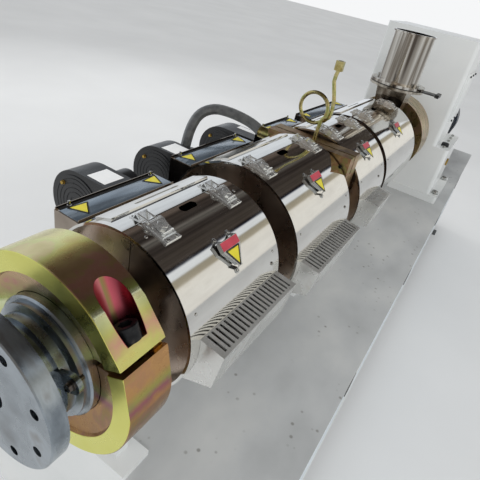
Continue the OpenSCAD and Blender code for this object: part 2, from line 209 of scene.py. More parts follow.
def begin(kind, name, **size):
    """A primitive at its size and place, with its object left at the origin."""
    if bpy.context.object and bpy.context.object.mode == "EDIT":
        bpy.ops.object.mode_set(mode="OBJECT")
    bpy.ops.object.select_all(action="DESELECT")
    getattr(bpy.ops.mesh, f"primitive_{kind}_add")(**size)
    piece = bpy.context.object
    piece.name = name
    bpy.ops.object.transform_apply()
    return piece


def pick(piece, test):
    """Edit mode, with just the faces selected whose centre and normal pass the test."""
    bpy.ops.object.mode_set(mode="OBJECT")
    bpy.ops.object.select_all(action="DESELECT")
    bpy.context.view_layer.objects.active = piece
    piece.select_set(True)
    for part in (piece.data.vertices, piece.data.edges):
        part.foreach_set("select", [False] * len(part))
    piece.data.polygons.foreach_set("select", [test(f.center, f.normal) for f in piece.data.polygons])
    bpy.ops.object.mode_set(mode="EDIT")
    bpy.ops.mesh.select_mode(type="FACE")


def bevel(piece, test, offset, segments):
    pick(piece, test)
    bpy.ops.mesh.bevel(offset=offset, segments=segments)


def step(thickness, x, y, z):
    """Insets the selected faces and moves them."""
    bpy.ops.mesh.inset(thickness=thickness)
    bpy.ops.transform.translate(value=(x, y, z))


def upward(c, n):
    return n.z > 0.9


def every(c, n):
    return True


def cut(piece, cutter, operation="DIFFERENCE"):
    """Takes the cutter's volume out of the piece, or with INTERSECT what lies outside it."""
    bpy.ops.object.mode_set(mode="OBJECT")
    bpy.ops.object.select_all(action="DESELECT")
    bpy.context.view_layer.objects.active = piece
    take = piece.modifiers.new("take", "BOOLEAN")
    take.object = cutter
    take.operation = operation
    take.solver = "EXACT"
    bpy.ops.object.modifier_apply(modifier=take.name)
    bpy.data.objects.remove(cutter)


def done(piece, slot, *finishes):
    """Leaves edit mode, shades the piece, gives it its materials and makes it ride on the machine."""
    bpy.ops.object.mode_set(mode="OBJECT")
    bpy.ops.object.select_all(action="DESELECT")
    bpy.context.view_layer.objects.active = piece
    piece.select_set(True)
    for finish in finishes:
        piece.data.materials.append(finish)
    bpy.ops.object.shade_smooth_by_angle(angle=radians(30))
    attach(piece, "root")
    return piece


def join(first, *others):
    if bpy.context.object.mode == "EDIT":
        bpy.ops.object.mode_set(mode="OBJECT")
    bpy.ops.object.select_all(action="DESELECT")
    for piece in (first, *others):
        piece.select_set(True)
    bpy.context.view_layer.objects.active = first
    bpy.ops.object.join()
    return first


def move(x, y, z):
    return Matrix.Translation((x, y, z))


def spin(angle, axis):
    return Matrix.Rotation(angle, 4, axis)


def repeat(model, places):
    """Moves the model to the first place and puts a copy with its own mesh at each of the others."""
    for i, place in enumerate(places[1:], 2):
        copy = bpy.data.objects.new(f"{model.name}_{i}", model.data.copy())
        copy.data.transform(place)
        bpy.context.collection.objects.link(copy)
        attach(copy, "root")
    model.data.transform(places[0])


# Anchor bolts. Zinc-plated M16 studs that stand out of the floor through the plinth's lugs, each with a
# washer and a hexagon nut.
def hex_head(name, across, height, washer):
    """A hexagon with its corners chamfered on a washer, standing on Z = 0. Sizes are in mm."""
    thick = washer * 0.07
    disc = begin("cylinder", name + "_washer", vertices=32, radius=washer / 2000, depth=thick / 1000,
                 location=(0, 0, thick / 2000))
    bevel(disc, upward, thick / 4000, 2)
    head = begin("cylinder", name, vertices=6, radius=across / sqrt(3) / 1000, depth=height / 1000,
                 location=(0, 0, (thick + height / 2) / 1000))
    pick(head, upward)
    step(across * 0.05 / 1000, 0, 0, across * 0.035 / 1000)
    step(across * 0.12 / 1000, 0, 0, -across * 0.02 / 1000)
    bevel(head, lambda c, n: abs(n.z) < 0.3, across * 0.02 / 1000, 1)
    return join(head, disc)


bright_zinc = surface("bright zinc plate", [(0.3, "#A9ADAE"), (0.55, "#C6C9C8"), (0.75, "#B3B09F")],
                      (0.22, 0.38), (9, 9, 9), metallic=1.0, bump=0.02, grain=(1.2, 1.2, 1.2))
SLOT = "zinc_plate"
nut = hex_head("anchor_nut", 24, 13, 32)
stud = begin("cylinder", "anchor_stud", vertices=24, radius=0.008, depth=0.052, location=(0, 0, 0.014))
bevel(stud, upward, 0.0015, 1)
nut = done(join(nut, stud), SLOT, bright_zinc)
repeat(nut, [move(x, y, 0.012) for x in (0.150, 3.170) for y in (-0.374, 0.374)])

# Base cabinet. Welded sheet-steel housing in white enamel with bays for the doors, and a painted top plate
# that has gone dusty, with oil spots and rubbed patches where tools are put down.
white_enamel = surface("white enamel", [(0.25, "#D9DCDB"), (0.55, "#E4E6E5"), (0.8, "#EAEBE9")], (0.28, 0.42),
                       (420, 420, 260), bump=0.03, grain=(2.2, 2.2, 2.2), Coat_Weight=0.25)
dress(white_enamel, "base_cabinet")
dusty = surface("dusty grey enamel", [(0.25, "#A6A8A8"), (0.5, "#B9BBBB"), (0.75, "#C9CAC8")], (0.42, 0.7),
                (260, 180, 200), bump=0.02, grain=(1.5, 1.5, 1.5))
tree = dusty.node_tree
shader = tree.nodes["Principled BSDF"]
under = shader.inputs["Base Color"].links[0].from_node
spot = add(tree, "TexCoord")
drops = add(tree, "TexVoronoi", values={"Scale": 34.0, "Randomness": 1.0}, links={"Vector": (spot, "Object")})
few = add(tree, "MapRange", values={"From Min": 0.10, "From Max": 0.19, "To Min": 1.0, "To Max": 0.0},
          links={"Value": (drops, "Distance")})
where = add(tree, "TexNoise", values={"Scale": 7.0, "Detail": 1.0}, links={"Vector": (spot, "Object")})
gate = add(tree, "MapRange", values={"From Min": 0.52, "From Max": 0.60, "To Max": 0.75},
           links={"Value": (where, 0)})
both = add(tree, "Math", {"operation": "MULTIPLY"}, links={0: (few, 0), 1: (gate, 0)})
spotted = add(tree, "Mix", {"data_type": "RGBA"}, {7: srgb("#7C7A75")}, {0: (both, 0), 6: (under, 0)})
tree.links.new(spotted.outputs[2], shader.inputs["Base Color"])
dress(dusty, "base_top_plate")

# Cabinet doors. Pressed sheet with louvres and lift-off hinges, in white powder coat with a fine orange-peel
# skin, coloured pale blue-grey as painted shade of the machine's sides. A flush pull cup stands in each
# door's slot.
# The pale blue-grey is painted shade on white paint; the orange-peel relief is the coat's own
powder = surface("white coat with painted blue side shade", [(0.3, "#C9D2D9"), (0.6, "#D5DDE3"), (0.8, "#DCE2E6")], (0.4, 0.55),
                 (300, 300, 300), bump=0.08, grain=(1.6, 1.6, 1.6))
dress(powder, "base_doors")
black_plastic = surface("black moulded plastic", [(0.3, "#17181A"), (0.7, "#232427")], (0.45, 0.62),
                        (12, 12, 12), bump=0.04, grain=(0.9, 0.9, 0.9))
SLOT = "black_fan"
cup = begin("cube", "door_pull", size=1, scale=(0.040, 0.009, 0.090))
pick(cup, lambda c, n: n.y > 0.9)
step(0.007, 0, -0.006, 0)
bevel(cup, lambda c, n: abs(n.y) < 0.2 and (abs(c.x) > 0.019 or abs(c.z) > 0.044), 0.0018, 2)
cup = done(cup, SLOT, black_plastic)
pulls = []
for i in range(4):
    x = (715 + i * 845) / 1000
    pulls += [move(x, 0.3930, 0.435), move(x, -0.3930, 0.435) @ spin(pi, "Z")]
repeat(cup, pulls)

# Barrel, screw and their supports. The nitrided barrel is grey steel with turning marks round its axis, and
# the two saddle stands are white enamel.
steel = surface("nitrided turned steel", [(0.3, "#4C4642"), (0.6, "#655E59"), (0.8, "#7A726B")], (0.2, 0.34),
                (40, 220, 220), metallic=1.0, bump=0.02, grain=(0.8, 60, 60))
dress(steel, "barrel", "screw")
dress(white_enamel, "barrel_supports")


# Die adapter. Turned from a dark alloy-steel bar in steps and grooves, with fine rings left by the tool, and
# blued by the heat near the clamp. A bolt stands in the hinge lug that is welded to its neck.
def turned(name, stations, sides=96, y=0.0, z=1.0):
    """A solid turned about an axis along X through [(x, radius), ...] in mm, closed at both ends."""
    x, r = stations[0]
    piece = begin("circle", name, vertices=sides, radius=r / 1000, fill_type="NGON",
                  location=(x / 1000, y, z), rotation=(0, pi / 2, 0))
    pick(piece, every)
    for x2, r2 in stations[1:]:
        bpy.ops.mesh.extrude_region_move(TRANSFORM_OT_translate={"value": ((x2 - x) / 1000, 0, 0)})
        bpy.ops.transform.resize(value=(1, r2 / r, r2 / r), center_override=(x2 / 1000, y, z))
        x, r = x2, r2
    bpy.ops.mesh.select_all(action="SELECT")
    bpy.ops.mesh.normals_make_consistent(inside=False)
    return piece


def prism(name, outline, depth):
    """An outline in mm, [(x, y), ...] anticlockwise, raised by depth from Z = 0."""
    plate = begin("circle", name, vertices=len(outline), radius=0.01, fill_type="NGON")
    for corner, (x, y) in zip(plate.data.vertices, outline):
        corner.co = (x / 1000, y / 1000, 0)
    pick(plate, every)
    bpy.ops.mesh.extrude_region_move(TRANSFORM_OT_translate={"value": (0, 0, depth / 1000)})
    bpy.ops.mesh.select_all(action="SELECT")
    bpy.ops.mesh.normals_make_consistent(inside=False)
    bpy.ops.object.mode_set(mode="OBJECT")
    return plate


def section(name, outline, x0, x1):
    """An outline in mm, [(y, z), ...], drawn across the machine and raised from x0 to x1."""
    bar = prism(name, outline, x1 - x0)
    bar.data.transform(move(x0 / 1000, 0, 0) @ spin(pi / 2, "Y") @ spin(pi / 2, "Z"))
    return bar


blued = surface("heat-tinted turned steel",
                [(0.2, "#5A6066"), (0.42, "#848C93"), (0.6, "#A3ABB2"), (0.8, "#7C756E")], (0.2, 0.36),
                (26, 70, 70), metallic=1.0, bump=0.03, grain=(0.9, 90, 90), Anisotropic=0.4)
adapter = turned("die_adapter_turned", [(-105, 108), (-149, 108), (-152, 105), (-152, 100), (-160, 100),
                                        (-162, 96), (-164, 88), (-178, 88), (-178, 80), (-188, 80),
                                        (-190, 86), (-196, 86), (-198, 80), (-208, 80), (-208, 130),
                                        (-234, 130), (-236, 128)])
for angle in range(8):
    hole = begin("cylinder", "hole", vertices=32, radius=0.00875, depth=0.060, rotation=(0, pi / 2, 0),
                 location=(-0.222, 0.105 * cos(radians(22.5 + 45 * angle)),
                           1.0 + 0.105 * sin(radians(22.5 + 45 * angle))))
    cut(adapter, hole)
cut(adapter, begin("cylinder", "bore", vertices=64, radius=0.025, depth=0.2, rotation=(0, pi / 2, 0),
                   location=(-0.17, 0, 1.0)))
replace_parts(done(adapter, "machined_steel", blued), "die_adapter")
lug = section("hinge_lug", [(-16 * sin(radians(a)), 112 + 16 * cos(radians(a)))
                            for a in range(-90, 91, 15)] + [(-16, 76), (16, 76)], 0, 8)
cut(lug, begin("cylinder", "pin_hole", vertices=24, radius=0.004, depth=0.03, location=(0.004, 0, 0.112),
               rotation=(0, pi / 2, 0)))
lug.data.transform(move(-0.182, 0, 1.0) @ spin(radians(90 - 26), "X"))
done(lug, "machined_steel", blued)
SLOT = "machined_steel"
lug_bolt = hex_head("lug_bolt", 13, 6, 17)
shank = begin("cylinder", "lug_shank", vertices=24, radius=0.0038, depth=0.024, location=(0, 0, -0.008))
lug_bolt = done(join(lug_bolt, shank), SLOT, steel)
out = radians(26)
repeat(lug_bolt, [move(-0.182, -0.112 * cos(out), 1.0 + 0.112 * sin(out)) @ spin(-pi / 2, "Y")])

# Clamp ring. Two forged halves in yellow zinc with an iridescent film. Its colour goes by the distance from
# the split from lime through a pale green bend to brown and pink; the pale green-white bend, a near-white
# band at the top and a green band on the lower half are painted highlights. A spacer block keeps the split
# open.
def iridescent(name, stops, size, rough=(0.2, 0.4), rise=None):
    """Yellow zinc, whose passivated film changes colour over hand-sized patches with small mottles in them.

    rise is the clamp's second ramp, over the distance from its split: lowest, highest in mm, and stops.
    Its pale stops are painted highlights.
    """
    made = surface(name, stops, rough, size, metallic=1.0, detail=6.0, bump=0.06, grain=(3.5, 3.5, 3.5))
    tree = made.node_tree
    shader = tree.nodes["Principled BSDF"]
    ramp = shader.inputs["Base Color"].links[0].from_node
    base = ramp.inputs["Fac"].links[0].from_node
    spot = add(tree, "TexCoord")
    small = add(tree, "TexNoise", values={"Scale": 90.0, "Detail": 3.0}, links={"Vector": (spot, "Object")})
    mottle = add(tree, "Math", {"operation": "MULTIPLY_ADD"}, {1: 0.22}, {0: (small, 0), 2: (base, 0)})
    tree.links.new(mottle.outputs[0], ramp.inputs["Fac"])
    if rise:
        # The clamp's own frame, with its split level
        own = add(tree, "Mapping", {}, {"Location": (0.150, 0.4695, -0.8829),
                                        "Rotation": (radians(28), 0, 0)}, {"Vector": (spot, "Object")})
        along = add(tree, "SeparateXYZ", links={"Vector": (own, 0)})
        height = add(tree, "MapRange", values={"From Min": rise[0] / 1000, "From Max": rise[1] / 1000},
                     links={"Value": (along, "Z")})
        uneven = add(tree, "Math", {"operation": "MULTIPLY_ADD"}, {1: 0.12}, {0: (base, 0), 2: (height, 0)})
        # The bands hold the film's own colours and painted highlights
        bands = add(tree, "ValToRGB", links={"Fac": (uneven, 0)}, stops=rise[2])
        film_and_highlights = add(tree, "Mix", {"data_type": "RGBA"}, {"Factor": 0.32}, {6: (bands, 0), 7: (ramp, 0)})
        # The front face is brighter, and the pockets' walls are red with a green streak
        front = add(tree, "Math", {"operation": "LESS_THAN"}, {1: 0.0009}, {0: (along, "X")})
        faced = add(tree, "Mix", {"data_type": "RGBA"}, {7: srgb("#E2E07A")}, {0: (front, 0), 6: (film_and_highlights, 2)})
        level = add(tree, "VectorMath", {"operation": "ABSOLUTE"}, links={0: (own, 0)})
        down = add(tree, "VectorMath", {"operation": "MULTIPLY"}, {1: (1, 1, 0)}, {0: (level, 0)})
        apart_ = add(tree, "VectorMath", {"operation": "DISTANCE"}, {1: (middle_x, screw_y, 0)},
                     {0: (down, 0)})
        hole = add(tree, "Math", {"operation": "COMPARE"}, {1: pocket_r, 2: 0.0005}, {0: (apart_, "Value")})
        above = add(tree, "Math", {"operation": "GREATER_THAN"}, {1: pocket_floor + 0.0002},
                    {0: (along, "Z")})
        pocket = add(tree, "Math", {"operation": "MULTIPLY"}, links={0: (hole, 0), 1: (above, 0)})
        wall = add(tree, "ValToRGB", links={"Fac": (along, "X")}, stops=[
            (0.024, "#B4505F"), (0.043, "#C87B7E"), (0.048, "#7E8A48"), (0.054, "#C05E6C"),
            (0.068, "#8E3F4C")])
        inside = add(tree, "Mix", {"data_type": "RGBA"}, links={0: (pocket, 0), 6: (faced, 2), 7: (wall, 0)})
        tree.links.new(inside.outputs[2], shader.inputs["Base Color"])
    return made


# The ring's middle, its two screws, half the gap of the split, the lean of the flats beside it, the pockets
middle_x, screw_y, half_gap, flat_lean = 0.045, 0.160, 0.0055, radians(14)
pocket_r, pocket_floor = 0.0245, 0.026
# In the rise ramps, the stops at 0.41 to 0.46 and at 0.96 of the upper half and at 0.69 of the lower half are
# painted highlights
upper_zinc = iridescent("iridescent yellow zinc", [
    (0.40, "#B98E6E"), (0.50, "#C7B06A"), (0.58, "#C9C77C"), (0.65, "#B7BB6A"), (0.72, "#CC9A8C"),
    (0.82, "#B9876E")], (70, 60, 60), rise=(11, 193, [
        (0.00, "#C3C877"), (0.10, "#D2CC82"), (0.22, "#D3A190"), (0.31, "#C6C67C"), (0.41, "#D9E2B8"),
        (0.46, "#E4ECCB"), (0.50, "#8C9A50"), (0.57, "#8E7A55"), (0.70, "#B58472"), (0.81, "#B98C76"),
        (0.89, "#B9B068"), (0.96, "#E3E2A8")]))
lower_zinc = iridescent("brown iridescent zinc", [
    (0.40, "#8A6A48"), (0.52, "#A97C4C"), (0.60, "#BC9054"), (0.68, "#A3706A"), (0.76, "#8E9050"),
    (0.85, "#B98A4A")], (60, 50, 50), rise=(-171, 11, [
        (0.00, "#8A6A4A"), (0.45, "#A07A50"), (0.56, "#B0824E"), (0.63, "#96566A"), (0.69, "#99A454"),
        (0.78, "#C29562"), (0.92, "#C99A68"), (1.00, "#B98A5A")]))
clamp = move(-0.150, 0, 1.0) @ spin(radians(-28), "X")
for side, name, finish in ((1, "clamp_ring_upper", upper_zinc), (-1, "clamp_ring_lower", lower_zinc)):
    half = turned(name + "_turned", [(0, 180), (2, 182), (88, 182), (90, 180)], 128, z=0)
    cut(half, turned("dish", [(-2, 149), (0, 148), (6, 145), (14, 111), (14, 109), (92, 109)], 128, z=0))
    cut(half, begin("cube", "other_half", size=1, scale=(0.2, 0.6, 0.3),
                    location=(middle_x, 0, side * (half_gap - 0.150))))
    for across in (-1, 1):
        cut(half, begin("cube", "flat", size=1, scale=(0.12, 0.1228, 0.2),
                        location=(middle_x, across * 0.2315, side * 0.0577),
                        rotation=(flat_lean * across * side, 0, 0)))
        # The screw head's pocket in the upper half, and the screw's hole in the lower one
        radius, height = (pocket_r, pocket_floor + 0.1) if side > 0 else (0.0105, 0.057)
        cut(half, begin("cylinder", "pocket", vertices=64, radius=radius, depth=0.2,
                        location=(middle_x, across * screw_y, height)))
    half.data.transform(clamp)
    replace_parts(done(half, "zinc_plate", finish), name)
SLOT = "zinc_plate"
spacer = begin("cube", "clamp_spacer", size=1, scale=(0.018, 0.022, 0.0108), location=(0.079, -0.160, 0))
bevel(spacer, every, 0.0012, 2)
repeat(done(spacer, SLOT, iridescent("gold zinc", [(0.4, "#B8963F"), (0.6, "#D2B24E"), (0.8, "#C08A50")],
                                     (12, 12, 12))), [clamp])

# Clamp screws. Two black-oxide M24 socket-head cap screws with chamfered rims. They sit in the pockets of
# the upper half and draw the two halves together.
def blank(name, across, height, sides):
    """A cylinder that stands on Z = 0. Sizes are in mm."""
    return begin("cylinder", name, vertices=sides, radius=across / 2000, depth=height / 1000,
                 location=(0, 0, height / 2000))


def socket_head(name, across, height, hexagon, sides=48):
    """A cap screw's head on Z = 0 with a chamfered rim and a hexagon socket. Sizes are in mm."""
    head = blank(name, across, height, sides)
    pick(head, upward)
    step(across * 0.045 / 1000, 0, 0, across * 0.03 / 1000)
    head.data.materials.clear()
    bpy.ops.object.mode_set(mode="OBJECT")
    key = begin("cylinder", name + "_key", vertices=6, radius=hexagon / sqrt(3) / 1000, depth=height / 1000,
                location=(0, 0, height * 1.1 / 1000))
    cut(head, key)
    return head


black_oxide = surface("black oxide steel", [(0.3, "#1B1C1E"), (0.6, "#2A2B2D"), (0.8, "#4A4640")], (0.3, 0.5),
                      (8, 8, 8), metallic=0.8, bump=0.02, grain=(0.8, 0.8, 0.8))
SLOT = "machined_steel"
cap = done(socket_head("clamp_screw", 36, 24, 19), SLOT, black_oxide)
repeat(cap, [clamp @ move(middle_x, y, pocket_floor) for y in (-screw_y, screw_y)])

# Heating-zone covers. Mirror-polished stainless sheet rolled round the heaters: it reflects almost perfectly,
# with a slow waviness of the rolled sheet and a haze of wiping marks. The plates that close the zones'
# ends are heat-browned stainless.
mirror = surface("mirror-polished stainless", [(0.3, "#D5D3CF"), (0.6, "#DEDDD9"), (0.8, "#D2CFC9")],
                 (0.035, 0.11), (90, 30, 30), metallic=1.0, bump=0.12, grain=(120, 70, 70))
dress(mirror, *[f"cover_{side}_{i}" for side in ("front", "rear") for i in (1, 2, 3, 4)])
dress(surface("heat-browned stainless", [(0.3, "#A8978A"), (0.55, "#C2B1A2"), (0.8, "#D2C3B5")], (0.22, 0.38),
              (30, 60, 60), metallic=1.0, bump=0.05, grain=(20, 20, 20)), "end_plates")

# Cover rivets. Small domed stainless rivets, two at each end of every zone's front half, where the flanges
# of the end plates are fixed to the sheet.
def dome(name, across, height, sides=16):
    """A rounded head on Z = 0. Sizes are in mm."""
    head = blank(name, across, height, sides)
    bevel(head, upward, height * 0.8 / 1000, 3)
    return head


def at_elevation(x, e, out, along=0.0):
    """A place at x, out from the barrel's axis, its Z outwards at e degrees on the operator's side. mm."""
    return move(x / 1000, 0, 1.0) @ spin(radians(90 - e), "X") @ move(0, along / 1000, out / 1000)


zone_x, zone_l, zone_r = [0, 364, 803, 1105], [310, 345, 268, 450], [170, 191, 191, 191]
bright_steel = surface("bright rivet steel", [(0.3, "#B5B5B2"), (0.7, "#CFCECB")], (0.14, 0.28), (6, 6, 6),
                       metallic=1.0, bump=0.02, grain=(1, 1, 1))
SLOT = "sheet_stainless"
rivet = done(dome("cover_rivet", 6, 1.6), SLOT, bright_steel)
repeat(rivet, [at_elevation(zone_x[z] + x, e, zone_r[z]) for z in range(4) for x in (22, zone_l[z] - 22)
               for e in (79, 26)])

# Toggle latches. Polished stainless base plates, cheeks, levers and wire bails with cast catches, two to a
# zone. Each base plate is held by two pan-head screws and each keeper by two rivets.
polished = surface("polished stainless fittings", [(0.3, "#DCDDDC"), (0.6, "#EDEEED"), (0.8, "#E2E1DD")],
                   (0.12, 0.24), (14, 14, 14), metallic=0.85, bump=0.05, grain=(7, 7, 7))


def rolled(name, wide, deep, thick, r):
    """A base plate whose under side follows a cover of radius r. Its top is flat. Sizes are in mm."""
    ys = [deep * (k / 8 - 0.5) for k in range(9)]
    plate = section(name, [(y, sqrt(r * r - y * y) - r) for y in ys] + [(ys[-1], thick), (ys[0], thick)],
                    -wide / 2, wide / 2)
    bevel(plate, upward, 0.0005, 1)
    return plate


def rod(name, r, start, end, sides=12):
    """A round bar between two points in mm."""
    start, end = Vector(start) / 1000, Vector(end) / 1000
    return begin("cylinder", name, vertices=sides, radius=r / 1000, depth=(end - start).length,
                 location=(start + end) / 2, rotation=(end - start).to_track_quat("Z", "Y").to_euler())


def toggle_latch(name, r):
    """Base plate, ribs, cheeks, pins, the lever with its slotted hexagonal catch, and the wire bail."""
    parts = [rolled(name, 39, 57, 2, r)]
    for y in (-14.5, -8.5):
        parts.append(begin("cube", "rib", size=1, scale=(0.031, 0.003, 0.005),
                           location=(0, y / 1000, 0.0025)))
    for s in (-1, 1):
        cheek = section("cheek", [(-17, 0), (27, 0), (28, 5), (22, 12), (14, 12), (2, 7), (-17, 5)],
                        s * 15.5 - 1, s * 15.5 + 1)
        bevel(cheek, lambda c, n: abs(n.x) > 0.9, 0.0003, 1)
        parts += [cheek, rod("bail_arm", 1.8, (s * 9.5, 10, 8.5), (s * 9.5, 51, 3.5))]
    for pin_r, half, y, z in ((2.6, 18.5, 21, 7), (2.0, 17.5, 10, 5.4), (1.8, 11.3, 51, 3.5),
                              (1.8, 11.3, 10, 8.5)):
        parts.append(rod("pin", pin_r, (-half, y, z), (half, y, z)))
    parts.append(section("lever", [(-8, 7), (-12, 10), (-13, 9), (-9, 5), (17, 10), (17, 12)], -13.5, 13.5))
    catch = begin("cylinder", "catch", vertices=6, radius=0.009, depth=0.0065, location=(0, 0, 0.01125))
    pick(catch, every)
    bpy.ops.transform.resize(value=(1, 1.25, 1), center_override=(0, 0, 0))
    bpy.ops.transform.translate(value=(0, 0.003, 0))
    bevel(catch, upward, 0.0006, 1)
    cut(catch, begin("cube", "slot", size=1, scale=(0.004, 0.020, 0.008), location=(0, 0.010, 0.015)))
    cut(catch, begin("cylinder", "hole", vertices=12, radius=0.0025, depth=0.03, location=(0, 0.003, 0.01)))
    return join(*parts, catch)


def latch_keeper(name, r):
    """Folded sheet on two rivets, with an open triangular hook that holds the bail."""
    hook = section("hook", [(-11, 0.5), (9, 0.5), (9, 2), (3, 13), (0, 13), (-11, 2)], -13, 13)
    cut(hook, section("opening", [(-6.5, 2), (6.5, 2), (1.5, 10.2)], -14, 14))
    return join(rolled(name, 28, 32, 1.6, r), hook)


def cross_head(name, across, height, sides=20):
    """A pan head on Z = 0 with a cross recess. Sizes are in mm."""
    head = blank(name, across, height, sides)
    bevel(head, upward, height * 0.45 / 1000, 2)
    for turn_ in (0, pi / 2):
        blade = begin("cube", name + "_blade", size=1, rotation=(0, 0, turn_ + 0.5),
                      location=(0, 0, height / 1000),
                      scale=(across * 0.62 / 1000, across * 0.13 / 1000, height / 1000))
        cut(head, blade)
    return head


# Places along the barrel, and how far latches and keepers stand from the seam, in mm
latch_x = [[57, 252], [402, 668], [846, 1028], [1180, 1512]]
latch_arc, keeper_arc = 36, 12
for r, columns in ((170, latch_x[0]), (191, latch_x[1] + latch_x[2] + latch_x[3])):
    latch = done(toggle_latch(f"latch_r{r}", r), SLOT, polished)
    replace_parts(latch, "toggle_latches")
    repeat(latch, [at_elevation(x, 90 - degrees(latch_arc / r), r) for x in columns])
    repeat(done(latch_keeper(f"keeper_r{r}", r), SLOT, polished),
           [at_elevation(x, 90 + degrees(keeper_arc / r), r) for x in columns])
screw = done(cross_head("latch_screw", 6.4, 2.4), SLOT, bright_steel)
repeat(screw, [at_elevation(x, 90 - degrees(latch_arc / r), r + 2, -23.5) @ move(s * 0.011, 0, 0)
               for r, pair in zip(zone_r, latch_x) for x in pair for s in (-1, 1)])
rivet = done(dome("keeper_rivet", 4.6, 1.4), SLOT, bright_steel)
repeat(rivet, [at_elevation(x, 90 + degrees(keeper_arc / r), r + 1.6, 12.4) @ move(s * 0.009, 0, 0)
               for r, pair in zip(zone_r, latch_x) for x in pair for s in (-1, 1)])

# Hot-surface brackets. Brushed stainless plates that stand off each cover on three feet, each with a screw.
# A red strip and a yellow triangle with a black rim are left plain.
brushed = surface("brushed stainless", [(0.3, "#A5A7A7"), (0.6, "#C3C5C5"), (0.8, "#B2B2AF")], (0.26, 0.42),
                  (60, 2, 2), metallic=1.0, bump=0.02, grain=(30, 0.5, 0.5))
red_film = surface("red vinyl", [(0.3, "#A82E40"), (0.7, "#BE3C4C")], (0.3, 0.45), (20, 20, 20), bump=0.01,
                   grain=(4, 4, 4))
yellow_film = surface("yellow vinyl", [(0.3, "#D2C31F"), (0.7, "#DFD232")], (0.3, 0.42), (20, 20, 20),
                      bump=0.01, grain=(4, 4, 4))
black_film = surface("black vinyl", [(0.3, "#141414"), (0.7, "#1F1F1F")], (0.3, 0.42), (20, 20, 20),
                     bump=0.01, grain=(4, 4, 4))
# The middle along the barrel in mm, and the elevations of the upper and lower ends
brackets = [(155, 57.8, 29.9), (536.5, 61.8, 38), (937, 60, 38.6), (1330, 60, 38.6)]


def bracket(name, r, reach):
    """The folded strip's section, trimmed to its outline from above, with its edges turned down. mm."""
    def at(out, angle):
        return out * sin(radians(angle)), out * cos(radians(angle)) - r

    y = r * sin(radians(reach))
    foot = degrees(10 / r)
    plate = section(name, [at(r + 0.1, reach), at(r + 0.1, reach - foot), (y - 14, 10), (14 - y, 10),
                           at(r + 0.1, foot - reach), at(r + 0.1, -reach), at(r + 1.6, -reach),
                           at(r + 1.6, foot - reach), (13 - y, 11.6), (y - 13, 11.6),
                           at(r + 1.6, reach - foot), at(r + 1.6, reach)], -30, 30)

    def arc(x, middle, round_r, first):
        return [(x + round_r * cos(radians(a)), middle + round_r * sin(radians(a)))
                for a in range(first, first + 181, 20)]

    trim = prism("trim", arc(0, 6 - y, 6, 180) + [(6, 18 - y), (27.5, y - 32)] + arc(22, y - 5.5, 5.5, 0)
                 + [(16.5, y - 13), (-16.5, y - 13)] + arc(-22, y - 5.5, 5.5, 0)
                 + [(-27.5, y - 32), (-6, 18 - y)], 50)
    trim.data.transform(move(0, 0, -0.020))
    cut(plate, trim, "INTERSECT")
    for s in (-1, 1):
        edge = prism("turned_edge", [(s * 27.5, y - 13.5), (s * 26, y - 13.5), (s * 26, y - 31.5),
                                     (s * 4.5, 18 - y), (s * 6, 18 - y), (s * 27.5, y - 32)], 7.5)
        edge.data.transform(move(0, 0, 0.003))
        join(plate, edge)
    return plate


def triangle(name, side):
    """A thin plate with three equal sides, round corners, a black rim and a yellow middle, tip to +Y. mm."""
    plate = begin("cylinder", name, vertices=3, radius=side / sqrt(3) / 1000, depth=0.0006,
                  location=(0, 0, 0.0003), rotation=(0, 0, 0))
    bpy.ops.object.mode_set(mode="EDIT")
    bpy.ops.mesh.select_mode(type="EDGE")
    bpy.ops.object.mode_set(mode="OBJECT")
    for e in plate.data.edges:
        low, high = (plate.data.vertices[v].co for v in e.vertices)
        e.select = abs(low.z - high.z) > 0.0004
    for f in plate.data.polygons:
        f.select = False
    bpy.ops.object.mode_set(mode="EDIT")
    bpy.ops.mesh.bevel(offset=side * 0.09 / 1000, segments=4)
    plate.data.materials.append(black_film)
    plate.data.materials.append(yellow_film)
    pick(plate, upward)
    step(side * 0.075 / 1000, 0, 0, 0.0001)
    plate.active_material_index = 1
    bpy.ops.object.material_slot_assign()
    bpy.ops.object.mode_set(mode="OBJECT")
    return plate


screw = done(cross_head("bracket_screw", 7.5, 2.6), SLOT, bright_steel)
feet, tops, signs = [], [], []
for r, (x, high, low) in zip(zone_r, brackets):
    y = r * sin(radians((high - low) / 2))
    middle = (high + low) / 2
    for side, up in ((-22, y - 5.5), (22, y - 5.5), (0, 6 - y)):
        lean = degrees(asin(up / (r + 1.6)))
        feet.append(at_elevation(x + side, middle + lean, r + 1.6))
    tops.append(at_elevation(x, middle, r + 11.6, y - 22.2))
    signs.append(at_elevation(x, middle, r + 11.6, y - 33))
    plate = bracket(f"bracket_{x}", r, (high - low) / 2)
    plate.data.transform(at_elevation(x, middle, r))
    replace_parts(done(plate, SLOT, brushed), "hot_surface_brackets")
repeat(screw, feet)
strip = begin("cube", "red_strip", size=1, scale=(0.053, 0.0165, 0.0006), location=(0, 0, 0.0003))
bevel(strip, lambda c, n: abs(n.z) < 0.2, 0.0002, 1)
repeat(done(strip, "zinc_plate", red_film), tops)
sign = triangle("bracket_triangle", 45)
repeat(done(sign, "zinc_plate"), [place @ move(0, -0.0110, 0) @ spin(pi, "Z") for place in signs])

# Vent hoods. Bright satin sheet boxes under the front halves of zones 1 to 3, with a punched grille on top. A
# pan-head screw stands in the cover above each.
satin = surface("satin sheet stainless", [(0.3, "#D2D2CE"), (0.6, "#E0E0DD"), (0.8, "#CFCBC4")], (0.2, 0.34),
                (50, 50, 50), metallic=0.72, bump=0.03, grain=(14, 14, 14))
dress(satin, "vent_hood_1", "vent_hood_2", "vent_hood_3")
SLOT = "mirror_stainless"
screw = done(cross_head("hood_screw", 8, 3), SLOT, bright_steel)
hood_x = [(25, 303), (391, 695), (848, 1028)]
repeat(screw, [at_elevation(ends[1] - 24, 16, r - 0.2, 5) for ends, r in zip(hood_x, zone_r)])

